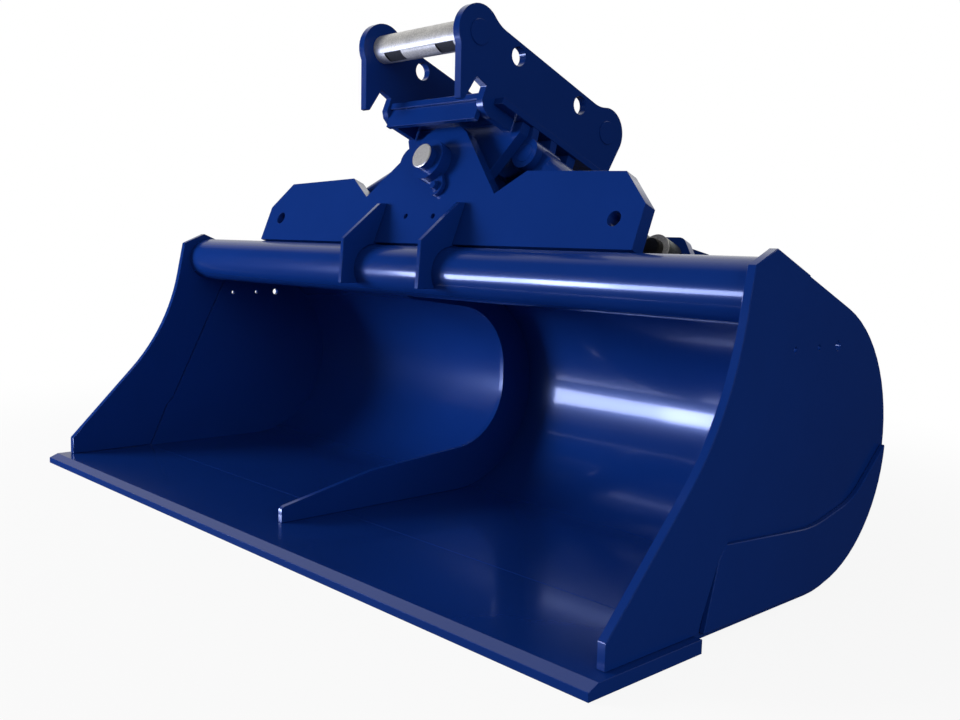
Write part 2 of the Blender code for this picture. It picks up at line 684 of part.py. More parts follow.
def ear_outline():
    """Outline of a headstock ear, along and above the pivot axis."""
    front, rear = (HITCH_FRONT_S, HITCH_V), (HITCH_REAR_S, HITCH_V)
    slope = math.degrees(TILT_SLOPE)
    flat = 180 + math.degrees(math.acos(EAR_FRONT_REACH / EAR_RADIUS)) + slope
    rise = EAR_TOP_V - HITCH_V + EAR_BLEND_RADIUS
    run = math.sqrt((EAR_RADIUS + EAR_BLEND_RADIUS) ** 2 - rise ** 2)
    blend = math.degrees(math.atan2(rise, run))
    outline = arc(front, EAR_RADIUS, flat, blend, 16)
    outline += arc((HITCH_FRONT_S + run, HITCH_V + rise), EAR_BLEND_RADIUS, 180 + blend, 270, 5)
    outline += arc((HITCH_REAR_S - run, HITCH_V + rise), EAR_BLEND_RADIUS, 270, 360 - blend, 5)
    outline += arc(rear, EAR_RADIUS, 180 - blend, EAR_REAR_END, 14)
    deck = DECK_TOP + GAP
    outline += [(EAR_REAR_S + EAR_REAR_BULGE, EAR_REAR_V), (EAR_REAR_S, deck),
                (EAR_STEP_S, deck), (EAR_STEP_S, EAR_LOW_V)]
    return outline + list(EAR_NOTCH)


def ear(name, side, headstock, look):
    """Headstock ear with its two hitch pin holes and two lifting holes."""
    holes = [circle(s, HITCH_V, HITCH_END_RADIUS + GAP, 32) for s in (HITCH_FRONT_S, HITCH_REAR_S)]
    holes += [circle(s, EAR_HOLE_V, EAR_HOLE_RADIUS) for s in EAR_HOLES_S]
    low, high = sorted((side * EAR_IN, side * EAR_OUT))
    plate(name, ear_outline(), low, high, look, headstock, SIDE_VIEW, holes)


def flat_form(low, high):
    """Return the block that mills one flat on a hitch pin, in the pin's own coordinates."""
    mesh = bpy.data.meshes.new("flat_form")
    form = bmesh.new()
    bmesh.ops.create_cube(form, size=1)
    form.to_mesh(mesh)
    form.free()
    reach = HITCH_RADIUS - FLAT_DEPTH + HITCH_RADIUS / 2
    mesh.transform(Matrix.Rotation(math.radians(FLAT_ANGLE) + math.pi / 2, 4, "Z")
                   @ Matrix.Translation((reach, 0, (low + high) / 2))
                   @ Matrix.Diagonal((HITCH_RADIUS, 2 * HITCH_RADIUS, high - low, 1)))
    return mesh


def hitch_pin(name, station, headstock, look):
    """Cross pin that the quick coupler takes hold of, stepped down at the ears, with two flats."""
    body, end = EAR_IN - GAP, EAR_OUT + HITCH_PROUD
    profile = [(0, end), (HITCH_END_RADIUS, end), (HITCH_END_RADIUS, body),
               (HITCH_RADIUS, body), (HITCH_RADIUS, -body), (HITCH_END_RADIUS, -body),
               (HITCH_END_RADIUS, -end), (0, -end)]
    made = turned(name, profile, look, headstock, "X", (0, station, HITCH_V))
    joined(made, flat_form(FLAT_START, FLAT_END), "DIFFERENCE")
    joined(made, flat_form(-FLAT_END, -FLAT_START), "DIFFERENCE")


def deck(headstock, look):
    """Deck plate between and outside the ears, slotted where the ears reach below it."""
    slot_in, slot_out, slot_end = EAR_IN - GAP, EAR_OUT + GAP, EAR_STEP_S + GAP
    half = [(slot_in, DECK_FRONT_S), (slot_in, slot_end), (slot_out, slot_end),
            (slot_out, DECK_WING_S), (DECK_HALF, DECK_WING_S), (DECK_HALF, DECK_REAR_S)]
    plate("deck_plate", mirrored(half), DECK_V, DECK_TOP, look, headstock, TOP_VIEW)


def under_deck(headstock, look):
    """Front web between the ears, and the two V plates that carry the hub tube."""
    top = DECK_V - GAP
    web = mirrored([(EAR_IN - GAP, WEB_LOW_V), (EAR_IN - GAP, top)])
    plate("front_web", web, WEB_S - WEB_THICK, WEB_S, look, headstock, FRONT_VIEW)
    foot, bend = HUB_PLATE_FOOT_HALF, HUB_PLATE_FOOT_RADIUS
    corners = [(HUB_PLATE_HALF, top, 0), (HUB_PLATE_HALF, HUB_PLATE_SHOULDER_V, 0),
               (foot, HUB_PLATE_FOOT_V, bend), (-foot, HUB_PLATE_FOOT_V, bend),
               (-HUB_PLATE_HALF, HUB_PLATE_SHOULDER_V, 0), (-HUB_PLATE_HALF, top, 0)]
    for name, station in (("front_hub_plate", HUB_PLATE_FRONT_S),
                          ("rear_hub_plate", HUB_PLATE_REAR_S)):
        plate(name, rounded(corners, 6), station, station + HUB_PLATE_THICK, look, headstock,
              FRONT_VIEW, [circle(0, 0, HUB_RADIUS + GAP, 32)])


def lug_outline(side):
    """Outline of a plate that hangs under the deck and carries a cylinder's base pin."""
    top = DECK_V - GAP
    lobe = arc((BASE_PIN_X, BASE_PIN_V), LUG_RADIUS, LUG_LOBE_START, LUG_LOBE_END, 16)
    outline = [(LUG_INNER_X, top), (DECK_HALF, top)] + lobe + [(LUG_INNER_X, LUG_NECK_V)]
    return [(side * x, v) for x, v in outline]


def base_lugs(word, side, headstock, look, dark):
    """Two lug plates and the two pin ends that stand in them."""
    hole = circle(side * BASE_PIN_X, BASE_PIN_V, CYLINDER_PIN_RADIUS + GAP)
    front_low, front_high = EYE_FRONT - GAP - LUG_THICK, EYE_FRONT - GAP
    rear_low, rear_high = EYE_BACK + GAP, EYE_BACK + GAP + LUG_THICK
    plate("front_lug_" + word, lug_outline(side), front_low, front_high, look, headstock,
          FRONT_VIEW, [hole])
    plate("rear_lug_" + word, lug_outline(side), rear_low, rear_high, look, headstock,
          FRONT_VIEW, [hole])
    place = (side * BASE_PIN_X, 0, BASE_PIN_V)
    shank = [(0, front_high), (CYLINDER_PIN_RADIUS, front_high),
             (CYLINDER_PIN_RADIUS, front_low), (0, front_low)]
    turned("front_base_pin_" + word, shank, look, headstock, "Y", place)
    head = rear_high + GAP
    headed = [(0, head + STUB_HEAD), (STUB_HEAD_RADIUS, head + STUB_HEAD),
              (STUB_HEAD_RADIUS, head), (CYLINDER_PIN_RADIUS, head),
              (CYLINDER_PIN_RADIUS, rear_low), (0, rear_low)]
    turned("rear_base_pin_" + word, headed, dark, headstock, "Y", place)


def rod_mount(word, side, tilt, look, dark):
    """Clevis plate on the shell and the rod pin between it and the front tilt plate."""
    x, v, foot = ROD_PIN_X, ROD_PIN_V, SHEET_TOP_V + GAP
    corners = [(x - CLEVIS_INNER, foot, 0),
               (x - CLEVIS_INNER, v + CLEVIS_RISE, CLEVIS_INNER_RADIUS),
               (x + CLEVIS_INNER / 2, v + CLEVIS_RISE, CLEVIS_OUTER_RADIUS),
               (x + CLEVIS_OUTER, foot + CLEVIS_TOE, 0), (x + CLEVIS_OUTER, foot, 0)]
    outline = [(side * a, b) for a, b in rounded(corners, 6)]
    low, high = EYE_BACK + GAP, EYE_BACK + GAP + CLEVIS_THICK
    plate("clevis_plate_" + word, outline, low, high, look, tilt, FRONT_VIEW,
          [circle(side * x, v, CYLINDER_PIN_RADIUS + GAP)])
    pin("rod_pin_" + word, CYLINDER_PIN_RADIUS, FRONT_PLATE_BACK + GAP, high + ROD_PIN_TAIL,
        dark, tilt, "Y", (side * x, 0, v))


def cylinder(word, rod_frame, barrel_frame, look, chrome, cast, bronze):
    """Rod with its eye and piston, and the barrel with its base eye, gland and pin core."""
    half = EYE_WIDTH / 2
    barrel_low = CYLINDER_LENGTH - BARREL_BASE - BARREL_LENGTH
    piston_high = CYLINDER_LENGTH - BARREL_BASE - PISTON_STAND
    rod = link("rod_" + word, rod_form(ROD_EYE_RADIUS, -half, half, "Y"), cast, rod_frame)
    joined(rod, rod_form(ROD_RADIUS, 0, piston_high, "X"), "UNION")
    joined(rod, rod_form(EYE_BORE, -EYE_WIDTH, EYE_WIDTH, "Y"), "DIFFERENCE")
    tube("rod_eye_bush_" + word, EYE_BORE - GAP, CYLINDER_PIN_RADIUS + GAP, -half, half, bronze,
         rod_frame, "Y")
    tube("piston_" + word, BARREL_BORE - GAP, ROD_RADIUS + GAP, piston_high - PISTON_LENGTH,
         piston_high, chrome, rod_frame, "X")
    base_place = (CYLINDER_LENGTH, 0, 0)
    barrel = link("barrel_" + word, rod_form(BARREL_RADIUS, barrel_low, CYLINDER_LENGTH, "X"),
                  look, barrel_frame)
    joined(barrel, rod_form(BASE_EYE_RADIUS, -half, half, "Y"), "UNION", base_place)
    for station in (barrel_low + GLAND_DEPTH + PORT_RADIUS,
                    CYLINDER_LENGTH - BARREL_BASE - 2 * PORT_RADIUS):
        port = rod_form(PORT_RADIUS, 0, BARREL_RADIUS + PORT_RISE, "Y", 16)
        joined(barrel, port, "UNION", (station, 0, 0))
    bore_end = CYLINDER_LENGTH - BARREL_BASE - BARREL_END / 2
    joined(barrel, rod_form(BARREL_BORE, barrel_low - half, bore_end, "X"), "DIFFERENCE")
    joined(barrel, rod_form(EYE_BORE, -EYE_WIDTH, EYE_WIDTH, "Y"), "DIFFERENCE", base_place)
    trim = rod_form(BASE_EYE_RADIUS + BARREL_RADIUS, half, EYE_WIDTH, "Y")
    joined(barrel, trim, "DIFFERENCE", base_place)
    trim = rod_form(BASE_EYE_RADIUS + BARREL_RADIUS, -EYE_WIDTH, -half, "Y")
    joined(barrel, trim, "DIFFERENCE", base_place)
    tube("base_eye_bush_" + word, EYE_BORE - GAP, CYLINDER_PIN_RADIUS + GAP, -half, half,
         bronze, barrel_frame, "Y", base_place)
    pin("base_pin_core_" + word, CYLINDER_PIN_RADIUS, -half, half, cast, barrel_frame, "Y",
        base_place, PIN_CORE_CHAMFER)
    lip = barrel_low - GAP
    gland = [(BARREL_BORE - GAP, barrel_low + GLAND_DEPTH), (BARREL_BORE - GAP, lip),
             (BARREL_RADIUS, lip), (BARREL_RADIUS, lip - GLAND_LIP),
             (ROD_RADIUS + GAP, lip - GLAND_LIP), (ROD_RADIUS + GAP, barrel_low + GLAND_DEPTH)]
    turned("gland_" + word, gland, chrome, barrel_frame, "X", ring=True)


def build():
    """Build every piece in its frame."""
    paint = finish("blue_paint", (0.006, 0.028, 0.150), 0.25, 0.0)
    bare = finish("machined_steel", (0.52, 0.52, 0.50), 0.35, 1.0)
    dark = finish("dark_steel", (0.05, 0.05, 0.05), 0.45, 0.8)
    cast = finish("zinc_steel", (0.24, 0.25, 0.25), 0.45, 0.8)
    chrome = finish("chrome", (0.62, 0.63, 0.65), 0.12, 1.0)
    bronze = finish("bronze", (0.45, 0.30, 0.14), 0.40, 1.0)

    bucket = empty("bucket_frame", None, (0, -EDGE_DEPTH / 2, 0))
    cutting_edge(bucket, paint)
    shell_sheet(bucket, paint)
    for word, side in (("left", -1), ("right", 1)):
        side_cutter("side_cutter_" + word, side, bucket, paint)
        side_plate("side_plate_" + word, side, bucket, paint)
        heel_plate("heel_plate_" + word, side, bucket, paint)
        runner("wear_runner_" + word, side * RUNNER_X, bucket, paint)
        front_gusset("front_gusset_" + word, side * GUSSET_X, bucket, paint)
        rear_gusset("rear_gusset_" + word, side * GUSSET_X, bucket, paint)
    tube("torque_tube", TUBE_RADIUS, TUBE_RADIUS - TUBE_WALL, -CUTTER_IN + GAP,
         CUTTER_IN - GAP, paint, bucket, "X", (0, TUBE_Y, TUBE_Z))
    centre_rib(bucket, paint)

    tilt = empty("tilt_frame", bucket, (0, PIVOT_Y, PIVOT_Z), (-TILT_SLOPE, 0, 0))
    headstock = empty("headstock_frame", tilt)
    tilt_plates(tilt, paint)
    keeper(tilt, paint)
    pivot(tilt, headstock, paint, bare, bronze)
    deck(headstock, paint)
    under_deck(headstock, paint)
    hitch_pin("front_hitch_pin", HITCH_FRONT_S, headstock, bare)
    hitch_pin("rear_hitch_pin", HITCH_REAR_S, headstock, bare)
    for word, side in (("left", -1), ("right", 1)):
        ear("ear_" + word, side, headstock, paint)
        base_lugs(word, side, headstock, paint, dark)
        rod_mount(word, side, tilt, paint, dark)
        rise, run = BASE_PIN_V - ROD_PIN_V, side * (BASE_PIN_X - ROD_PIN_X)
        rod_frame = empty("rod_frame_" + word, tilt, (side * ROD_PIN_X, CYLINDER_S, ROD_PIN_V),
                          (0, math.atan2(-rise, run), 0))
        barrel_frame = empty("barrel_frame_" + word, rod_frame)
        cylinder(word, rod_frame, barrel_frame, paint, chrome, cast, bronze)


clear_scene()
PARTS = collection("tilting_ditching_bucket")
CUTTERS = collection("cutters")
build()
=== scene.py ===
"""Looks of the tilting ditching bucket: paint, bare steel, broken edges and small fittings.

Metres, in the CAD's frame: +X is the bucket's width, +Y runs back, +Z up, and the origin is the
centre of the cutting edge's underside.
"""
import json
import math

import bmesh
import bpy
from mathutils import Matrix, Vector

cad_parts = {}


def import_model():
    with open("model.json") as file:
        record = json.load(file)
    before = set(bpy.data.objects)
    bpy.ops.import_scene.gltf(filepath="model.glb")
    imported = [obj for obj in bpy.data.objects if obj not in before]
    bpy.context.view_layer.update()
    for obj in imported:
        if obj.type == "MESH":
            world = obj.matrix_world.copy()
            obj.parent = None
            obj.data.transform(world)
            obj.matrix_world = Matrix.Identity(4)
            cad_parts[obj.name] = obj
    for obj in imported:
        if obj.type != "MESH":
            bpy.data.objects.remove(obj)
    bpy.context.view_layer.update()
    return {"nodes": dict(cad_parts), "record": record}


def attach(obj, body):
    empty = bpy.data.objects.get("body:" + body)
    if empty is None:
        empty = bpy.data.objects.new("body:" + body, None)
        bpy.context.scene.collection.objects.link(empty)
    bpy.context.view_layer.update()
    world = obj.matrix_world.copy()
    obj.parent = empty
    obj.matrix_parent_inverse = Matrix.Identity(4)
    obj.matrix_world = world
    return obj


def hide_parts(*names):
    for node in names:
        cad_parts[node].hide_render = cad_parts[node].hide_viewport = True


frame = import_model()
NODES = frame["nodes"]
BODY_OF = {node: body for body, members in frame["record"]["behaviour"]["bodies"].items()
           for node in members}
SLOT_OF = {row["node"]: row["material_slot"] for row in frame["record"]["subparts"]}

# Camera
EYE = Vector((1.7196, -1.1057, 0.5849))
LOOK = Vector((-0.7223, 0.6822, -0.1136)).normalized()
ROLL = math.radians(1.47)
LENS = 38.8
SENSOR = 36.0

# Pivot of the headstock
SLOPE = math.radians(22.0)
PIVOT = Vector((0, 0.336532, 0.762259))
TILT = Matrix.Translation(PIVOT) @ Matrix.Rotation(-SLOPE, 4, "X")
UNTILT = TILT.inverted()

# Direction from the object to the bright backdrop that gloss shows, and the cosines between
# which it brightens
BACKDROP = (-0.45, 0.62, 0.64)
BACKDROP_FROM, BACKDROP_FULL = 0.55, 0.92
# Floor: half its size, its depth under the object, how bright it looks in gloss and how much of
# it the gloss replaces, the share of its bounced light that is lost, and the metres over which
# its shadow fades, with the share of white that it starts from
FLOOR_HALF = 30
FLOOR_DEPTH = 0.0006
SHINE_FLOOR = 0.012
SHINE_SHARE = 0.98
BOUNCE_LOST = 0.7
FADE_NEAR, FADE_FAR = 1.1, 2.6
NEAR_WHITE = 0.90

# Widths of the flat that breaks a sharp edge, and the angle in degrees that counts as sharp
CHAMFER = 0.0013
FINE_CHAMFER = 0.0006
SHARP_FROM = 34
PIN_SHARP_FROM = 40
# Degrees from which faces meet in a hard line; lower for the cutting edge, to show its bevel flat
SMOOTH_BELOW = 30
BEVEL_ANGLE = 8
# Cleaning of the frame's meshes: points that are one (metres), faces that are flat (degrees)
WELD = 0.00001
FLAT_WITHIN = 0.6
# Points that close a turned form on itself, and how many sides such forms have
SEAM = 0.000001
TUBE_STEPS = 192
PIN_STEPS = 64
ROD_PIN_STEPS = 48
WASHER_STEPS = 40
BOLT_SIDES = 6

# Noise: its mean, and how far it drives brightness (clouds, specks) and tarnish
NOISE_MEAN = 0.5
CLOUD_GAIN = 6.0
SPECK_GAIN = 0.5
TARNISH_FROM = 0.42
TARNISH_GAIN = 0.6
TARNISH_ROUGH = 0.25


# Shader groups

def socket(tree, name, kind, default=None, way="INPUT"):
    """Add a named socket to a group."""
    made = tree.interface.new_socket(name=name, in_out=way, socket_type=kind)
    if default is not None:
        made.default_value = default
    return made


def wire(tree, *pairs):
    """Join sockets, each pair from an output to an input."""
    for out, into in pairs:
        tree.links.new(out, into)


def node(tree, kind, **settings):
    """Add a shader node; settings are its own properties, or its inputs by name."""
    made = tree.nodes.new("ShaderNode" + kind)
    for key, value in settings.items():
        if hasattr(made, key):
            setattr(made, key, value)
        else:
            made.inputs[key.replace("_", " ")].default_value = value
    return made


def math_node(tree, operation, first, second=None):
    """Add a Math node fed by sockets or numbers, and return its output."""
    made = tree.nodes.new("ShaderNodeMath")
    made.operation = operation
    for k, value in enumerate((first, second)):
        if value is None:
            continue
        if isinstance(value, (int, float)):
            made.inputs[k].default_value = value
        else:
            tree.links.new(value, made.inputs[k])
    return made.outputs[0]


def paint_skin_group():
    """Sprayed paint: cloudy colour, orange-peel height and uneven gloss."""
    tree = bpy.data.node_groups.new("paint_skin", "ShaderNodeTree")
    socket(tree, "Color", "NodeSocketColor", (0.01, 0.03, 0.15, 1))
    socket(tree, "Cloud", "NodeSocketFloat", 0.1)
    socket(tree, "Roughness", "NodeSocketFloat", 0.3)
    socket(tree, "Peel Scale", "NodeSocketFloat", 260.0)
    socket(tree, "Color", "NodeSocketColor", way="OUTPUT")
    socket(tree, "Roughness", "NodeSocketFloat", way="OUTPUT")
    socket(tree, "Height", "NodeSocketFloat", way="OUTPUT")
    enter, leave = tree.nodes.new("NodeGroupInput"), tree.nodes.new("NodeGroupOutput")
    place = node(tree, "TexCoord")
    cloud = node(tree, "TexNoise", Scale=3.2, Detail=5.0, Roughness=0.6)
    mist = node(tree, "TexNoise", Scale=900.0, Detail=2.0, Roughness=0.5)
    peel = node(tree, "TexNoise", Detail=2.0, Roughness=0.45)
    for field in (cloud, mist, peel):
        wire(tree, (place.outputs["Object"], field.inputs["Vector"]))
    wire(tree, (enter.outputs["Peel Scale"], peel.inputs["Scale"]))
    drift = math_node(tree, "SUBTRACT", cloud.outputs["Fac"], NOISE_MEAN)
    swing = math_node(tree, "MULTIPLY", drift, enter.outputs["Cloud"])
    fleck = math_node(tree, "SUBTRACT", mist.outputs["Fac"], NOISE_MEAN)
    speck = math_node(tree, "MULTIPLY", fleck, SPECK_GAIN)
    clouded = math_node(tree, "ADD", 1.0, math_node(tree, "MULTIPLY", swing, CLOUD_GAIN))
    value = math_node(tree, "ADD", clouded,
                      math_node(tree, "MULTIPLY", speck, enter.outputs["Cloud"]))
    shade = node(tree, "HueSaturation")
    wire(tree, (enter.outputs["Color"], shade.inputs["Color"]), (value, shade.inputs["Value"]),
         (shade.outputs["Color"], leave.inputs["Color"]),
         (math_node(tree, "ADD", enter.outputs["Roughness"], swing), leave.inputs["Roughness"]),
         (peel.outputs["Fac"], leave.inputs["Height"]))
    return tree


def steel_grain_group():
    """Bare steel: fine speckle from the mill, broad tarnish and uneven gloss."""
    tree = bpy.data.node_groups.new("steel_grain", "ShaderNodeTree")
    socket(tree, "Color", "NodeSocketColor", (0.5, 0.5, 0.5, 1))
    socket(tree, "Dark", "NodeSocketColor", (0.2, 0.19, 0.18, 1))
    socket(tree, "Speckle", "NodeSocketFloat", 0.5)
    socket(tree, "Roughness", "NodeSocketFloat", 0.35)
    socket(tree, "Grain Scale", "NodeSocketFloat", 420.0)
    socket(tree, "Color", "NodeSocketColor", way="OUTPUT")
    socket(tree, "Roughness", "NodeSocketFloat", way="OUTPUT")
    socket(tree, "Height", "NodeSocketFloat", way="OUTPUT")
    enter, leave = tree.nodes.new("NodeGroupInput"), tree.nodes.new("NodeGroupOutput")
    place = node(tree, "TexCoord")
    grain = node(tree, "TexNoise", Detail=4.0, Roughness=0.7)
    broad = node(tree, "TexNoise", Scale=22.0, Detail=4.0, Roughness=0.6)
    for field in (grain, broad):
        wire(tree, (place.outputs["Object"], field.inputs["Vector"]))
    wire(tree, (enter.outputs["Grain Scale"], grain.inputs["Scale"]))
    spread = node(tree, "MapRange", From_Min=0.35, From_Max=0.68)
    wire(tree, (grain.outputs["Fac"], spread.inputs["Value"]))
    dull = math_node(tree, "MULTIPLY", spread.outputs["Result"], enter.outputs["Speckle"])
    above = math_node(tree, "SUBTRACT", broad.outputs["Fac"], TARNISH_FROM)
    tarnish = math_node(tree, "MULTIPLY", above, TARNISH_GAIN)
    share = math_node(tree, "MAXIMUM", math_node(tree, "ADD", dull, tarnish), 0.0)
    blend = node(tree, "Mix", data_type="RGBA")
    wire(tree, (share, blend.inputs["Factor"]), (enter.outputs["Color"], blend.inputs["A"]),
         (enter.outputs["Dark"], blend.inputs["B"]))
    tree.links.new(blend.outputs["Result"], leave.inputs["Color"])
    rough = math_node(tree, "ADD", enter.outputs["Roughness"],
                      math_node(tree, "MULTIPLY", share, TARNISH_ROUGH))
    wire(tree, (rough, leave.inputs["Roughness"]), (grain.outputs["Fac"], leave.inputs["Height"]))
    return tree


PAINT_SKIN = paint_skin_group()
STEEL_GRAIN = steel_grain_group()


def finish_material(name, group, bump, bump_depth, constants, **inputs):
    """Principled material whose colour, roughness and relief come from a group."""
    made = bpy.data.materials.new(name)
    made.use_nodes = True
    tree = made.node_tree
    shader = tree.nodes["Principled BSDF"]
    for key, value in constants.items():
        shader.inputs[key].default_value = value
    skin = tree.nodes.new("ShaderNodeGroup")
    skin.node_tree = group
    for key, value in inputs.items():
        skin.inputs[key.replace("_", " ")].default_value = value
    relief = node(tree, "Bump", Strength=bump, Distance=bump_depth)
    wire(tree, (skin.outputs["Color"], shader.inputs["Base Color"]),
         (skin.outputs["Roughness"], shader.inputs["Roughness"]),
         (skin.outputs["Height"], relief.inputs["Height"]),
         (relief.outputs["Normal"], shader.inputs["Normal"]))
    return made


BLUE = (0.0035, 0.0270, 0.1850, 1)
LOOKS = {
    "blue_paint": finish_material(
        "sprayed_blue", PAINT_SKIN, 0.06, 0.0003,
        {"Specular IOR Level": 0.30, "Specular Tint": (0.55, 0.68, 1.0, 1), "Coat Weight": 0.35,
         "Coat Roughness": 0.09},
        Color=BLUE, Cloud=0.04, Roughness=0.24, Peel_Scale=240.0),
    "machined_steel": finish_material(
        "milled_steel", STEEL_GRAIN, 0.40, 0.0007, {"Metallic": 0.50, "Specular IOR Level": 0.5},
        Color=(0.88, 0.86, 0.82, 1), Dark=(0.10, 0.095, 0.09, 1), Speckle=0.50, Roughness=0.36,
        Grain_Scale=420.0),
    # Dark steel of the rod pins; on the hitch pins' milled flats it is painted shade
    "dark_steel": finish_material(
        "black_oxide_steel_and_painted_flat_shade", STEEL_GRAIN, 0.2, 0.0004, {"Metallic": 0.9},
        Color=(0.085, 0.083, 0.08, 1), Dark=(0.03, 0.03, 0.03, 1), Speckle=0.5, Roughness=0.38,
        Grain_Scale=300.0),
    "zinc_steel": finish_material(
        "cast_eye_steel", STEEL_GRAIN, 0.3, 0.0006, {"Metallic": 0.85},
        Color=(0.26, 0.28, 0.27, 1), Dark=(0.13, 0.14, 0.13, 1), Speckle=0.6, Roughness=0.42,
        Grain_Scale=260.0),
    "chrome": finish_material(
        "hard_chrome", STEEL_GRAIN, 0.05, 0.0002, {"Metallic": 1.0},
        Color=(0.70, 0.71, 0.73, 1), Dark=(0.45, 0.46, 0.48, 1), Speckle=0.25, Roughness=0.12,
        Grain_Scale=500.0),
    "bronze": finish_material(
        "bush_bronze", STEEL_GRAIN, 0.15, 0.0004, {"Metallic": 1.0},
        Color=(0.50, 0.33, 0.15, 1), Dark=(0.25, 0.15, 0.06, 1), Speckle=0.5, Roughness=0.35,
        Grain_Scale=350.0),
}

PIN_FACE = finish_material(
    "turned_steel", STEEL_GRAIN, 0.25, 0.0005, {"Metallic": 0.66, "Specular IOR Level": 0.6},
    Color=(0.98, 0.96, 0.92, 1), Dark=(0.14, 0.13, 0.12, 1), Speckle=0.30, Roughness=0.36,
    Grain_Scale=420.0)


# Making pieces

def shade(mesh, angle=SMOOTH_BELOW):
    """Smooth round faces and keep sharp edges."""
    mesh.shade_smooth()
    mesh.set_sharp_from_angle(angle=math.radians(angle))


def piece(name, form, body, slot):
    """Turn a bmesh into a named piece that rides on a body."""
    mesh = bpy.data.meshes.new(name)
    form.to_mesh(mesh)
    form.free()
    mesh.materials.clear()
    mesh.materials.append(LOOKS[slot])
    if "custom_normal" in mesh.attributes:
        mesh.attributes.remove(mesh.attributes["custom_normal"])
    shade(mesh)
    made = bpy.data.objects.new(name, mesh)
    bpy.context.scene.collection.objects.link(made)
    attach(made, body)
    return made


def merged_copy(name):
    """Bmesh of a CAD node with its loose triangles joined and its flat faces made whole."""
    form = bmesh.new()
    form.from_mesh(NODES[name].data)
    bmesh.ops.remove_doubles(form, verts=form.verts, dist=WELD)
    bmesh.ops.dissolve_limit(form, angle_limit=math.radians(FLAT_WITHIN), verts=form.verts,
                             edges=form.edges)
    return form


def chamfer(form, size, least):
    """Break the sharp edges of a form with one small flat."""
    edges = [edge for edge in form.edges if len(edge.link_faces) == 2
             and edge.calc_face_angle() > math.radians(least)]
    bmesh.ops.bevel(form, geom=edges, offset=size, offset_type="OFFSET", affect="EDGES",
                    segments=1, profile=0.5, material=-1, clamp_overlap=True)


def edged(name, size=CHAMFER, least=SHARP_FROM, move=None):
    """Stand a copy with broken edges in place of a CAD node; move shifts its points first."""
    form = merged_copy(name)
    if move:
        for vert in form.verts:
            vert.co = TILT @ move(UNTILT @ vert.co)
    chamfer(form, size, least)
    made = piece(name + "_edged", form, BODY_OF[name], SLOT_OF[name])
    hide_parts(name)
    return made


def span(name):
    """Low and high corner of a CAD node's box, along the pivot's own axes."""
    points = [UNTILT @ vert.co for vert in NODES[name].data.vertices]
    return [Vector([pick(point[axis] for point in points) for axis in range(3)])
            for pick in (min, max)]


def turned(name, place, profile, body, slot, steps):
    """Spin a profile of (along, radius) about the place's own Z axis."""
    form = bmesh.new()
    verts = [form.verts.new((radius, 0, along)) for along, radius in profile]
    edges = [form.edges.new(pair) for pair in zip(verts, verts[1:])]
    bmesh.ops.spin(form, geom=verts + edges, cent=(0, 0, 0), axis=(0, 0, 1), dvec=(0, 0, 0),
                   angle=2 * math.pi, steps=steps, use_duplicate=False)
    bmesh.ops.remove_doubles(form, verts=form.verts, dist=SEAM)
    bmesh.ops.recalc_face_normals(form, faces=form.faces)
    bmesh.ops.transform(form, matrix=place, verts=form.verts)
    return piece(name, form, body, slot)


def ring(name, place, low, high, outer, inner, body, slot, steps=PIN_STEPS):
    """Turn a plain ring or tube between two stations of a place's Z axis."""
    return turned(name, place, [(low, outer), (high, outer), (high, inner), (low, inner),
                                (low, outer)], body, slot, steps)


def facing(x, s, v, axis, degrees):
    """Place on the tilt frame, turned about one of its axes from facing up."""
    return (TILT @ Matrix.Translation((x, s, v))
            @ Matrix.Rotation(math.radians(degrees), 4, axis))


for name, part in NODES.items():
    part.data.materials.clear()
    part.data.materials.append(LOOKS[SLOT_OF[name]])

PLATES = ["front_tilt_plate", "front_hub_plate", "rear_hub_plate"]
for name in ("shell_sheet", "centre_rib", "deck_plate", "front_web"):
    edged(name, FINE_CHAMFER)
shade(edged("cutting_edge", FINE_CHAMFER).data, BEVEL_ANGLE)
PAIRED = ["side_cutter_", "side_plate_", "heel_plate_", "wear_runner_", "front_gusset_",
          "rear_gusset_", "clevis_plate_", "ear_"]
for name in PLATES + [stem + side for stem in PAIRED for side in ("left", "right")]:
    edged(name)


# Forms that the photograph shows smaller than the solids, or turned a little

# Rear tilt plate: half its length, its wings' top under the pivot, and where the wings begin
REAR_HALF = 0.585
REAR_WING_TOP = -0.083
WINGS_FROM = 0.15
# Lugs: the solids' round end, how near a point must be to count to it, and the end that is seen
LUG_RADIUS = 0.045
ON_LOBE = 0.0005
LUG_SEEN_RADIUS = 0.034
# Degrees from the solid keeper to the one that is seen
KEEPER_TURN = -16.0


def low_wings(point):
    """Lower and shorten the rear tilt plate's wings."""
    x, s, v = point
    if abs(x) < WINGS_FROM:
        return point
    return Vector((math.copysign(min(abs(x), REAR_HALF), x), s, min(v, REAR_WING_TOP)))


def slim_lobe(side):
    """Draw a lug's lobe in towards its pin."""
    low, high = span("front_base_pin_" + side)
    centre = (low + high) / 2

    def move(point):
        out = Vector((point.x - centre.x, 0, point.z - centre.z))
        if abs(out.length - LUG_RADIUS) > ON_LOBE:
            return point
        return point + out * (LUG_SEEN_RADIUS / LUG_RADIUS - 1)
    return move


edged("rear_tilt_plate", move=low_wings)
edged("pivot_pin_keeper", move=lambda point:
      Matrix.Rotation(math.radians(-KEEPER_TURN), 3, "Y") @ point)
for side in ("left", "right"):
    for stem in ("front_lug_", "rear_lug_"):
        edged(stem + side, move=slim_lobe(side))


# Pins and small fittings

# Pivot pin: how far it stands out of the solid, its radii, and the breaks of its two ends
PIN_NOSE = 0.006
PIN_NOSE_RADIUS = 0.0275
PIN_RADIUS = 0.030
PIN_NOSE_BREAK = 0.0015
PIN_BREAK = 0.002
